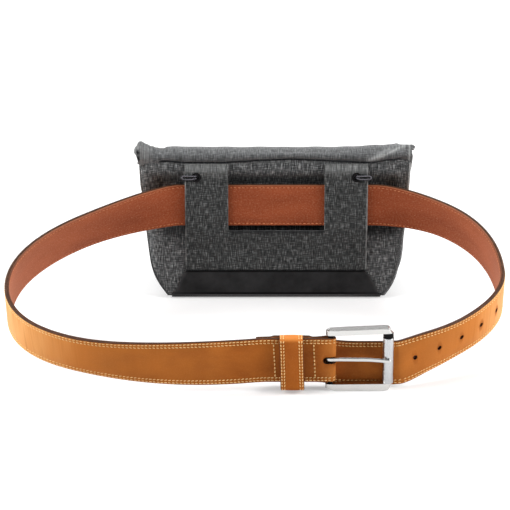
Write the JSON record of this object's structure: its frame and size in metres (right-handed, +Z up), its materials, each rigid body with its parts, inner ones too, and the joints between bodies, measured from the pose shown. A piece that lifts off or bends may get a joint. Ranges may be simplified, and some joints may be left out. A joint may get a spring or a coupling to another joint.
{
  "type": "belt pouch on a leather belt",
  "caption": "Roll-top fabric pouch with a coated base and belt loops, threaded on a tan leather belt with a roller buckle and a sliding keeper.",
  "frame": {"origin": "middle of the pouch's base, on the surface that it stands on", "axes": "+X along the pouch's width, +Y towards the pouch's front, +Z up; the belt's loop lies on the -Y side"},
  "size_m": [0.4194, 0.2995, 0.1401],
  "materials": {
    "heather_fabric": "charcoal heather woven polyester, matt",
    "coated_fabric": "black weatherproof coated fabric, matt",
    "stiffener_board": "black stiffener board",
    "lining_fabric": "dark grey lining cloth",
    "closure_tape": "black hook and loop tape",
    "black_eyelet": "black lacquered eyelet",
    "anchor_cord": "black braided cord",
    "tan_leather": "tan nubuck, cream stitching",
    "suede_lining": "reddish brown suede",
    "satin_nickel": "satin nickel"
  },
  "bodies": {
    "pouch": {"back_panel": "heather_fabric", "front_panel": "heather_fabric", "left_gusset": "heather_fabric", "right_gusset": "heather_fabric", "base_panel": "coated_fabric", "base_board": "stiffener_board", "pouch_lining": "lining_fabric", "slip_pocket": "lining_fabric", "front_loop_strip": "closure_tape", "belt_loop_panel": "heather_fabric", "anchor_eyelets": "black_eyelet"},
    "flap": {"flap": "heather_fabric", "flap_hook_strip": "closure_tape"},
    "left_anchor": {"left_anchor_cord": "anchor_cord"},
    "right_anchor": {"right_anchor_cord": "anchor_cord"},
    "belt": {"belt_strap": "tan_leather", "belt_lining": "suede_lining"},
    "keeper": {"keeper_loop": "tan_leather"},
    "buckle": {"buckle_frame": "satin_nickel", "heel_bar": "satin_nickel"},
    "roller": {"roller": "satin_nickel"},
    "prong": {"prong": "satin_nickel"}
  },
  "joints": [
    {"name": "flap_hinge", "type": "hinge", "parent": "pouch", "child": "flap", "pos_m": [0, -0.0383, 0.1295], "axis": [1, 0, 0], "range_deg": [0, 105]},
    {"name": "left_anchor_swivel", "type": "hinge", "parent": "pouch", "child": "left_anchor", "pos_m": [-0.0705, -0.042, 0.1155], "axis": [0, 1, 0], "range_deg": [-75, 30]},
    {"name": "right_anchor_swivel", "type": "hinge", "parent": "pouch", "child": "right_anchor", "pos_m": [0.0705, -0.042, 0.1155], "axis": [0, 1, 0], "range_deg": [-30, 75]},
    {"name": "belt_slide", "type": "slide", "parent": "pouch", "child": "belt", "axis": [1, 0, 0], "range_m": [-0.006, 0.006]},
    {"name": "keeper_slide", "type": "slide", "parent": "belt", "child": "keeper", "axis": [1, 0, 0], "range_m": [-0.003, 0.003]},
    {"name": "buckle_pivot", "type": "hinge", "parent": "belt", "child": "buckle", "pos_m": [0.0425, -0.24635, 0.027], "axis": [0, 0, -1], "range_deg": [0, 40]},
    {"name": "roller_spin", "type": "hinge", "parent": "buckle", "child": "roller", "pos_m": [0.0895, -0.24635, 0.027], "axis": [0, 0, 1], "continuous": true},
    {"name": "prong_pivot", "type": "hinge", "parent": "buckle", "child": "prong", "pos_m": [0.0425, -0.24635, 0.027], "axis": [0, 0, -1], "range_deg": [0, 85]}
  ]
}
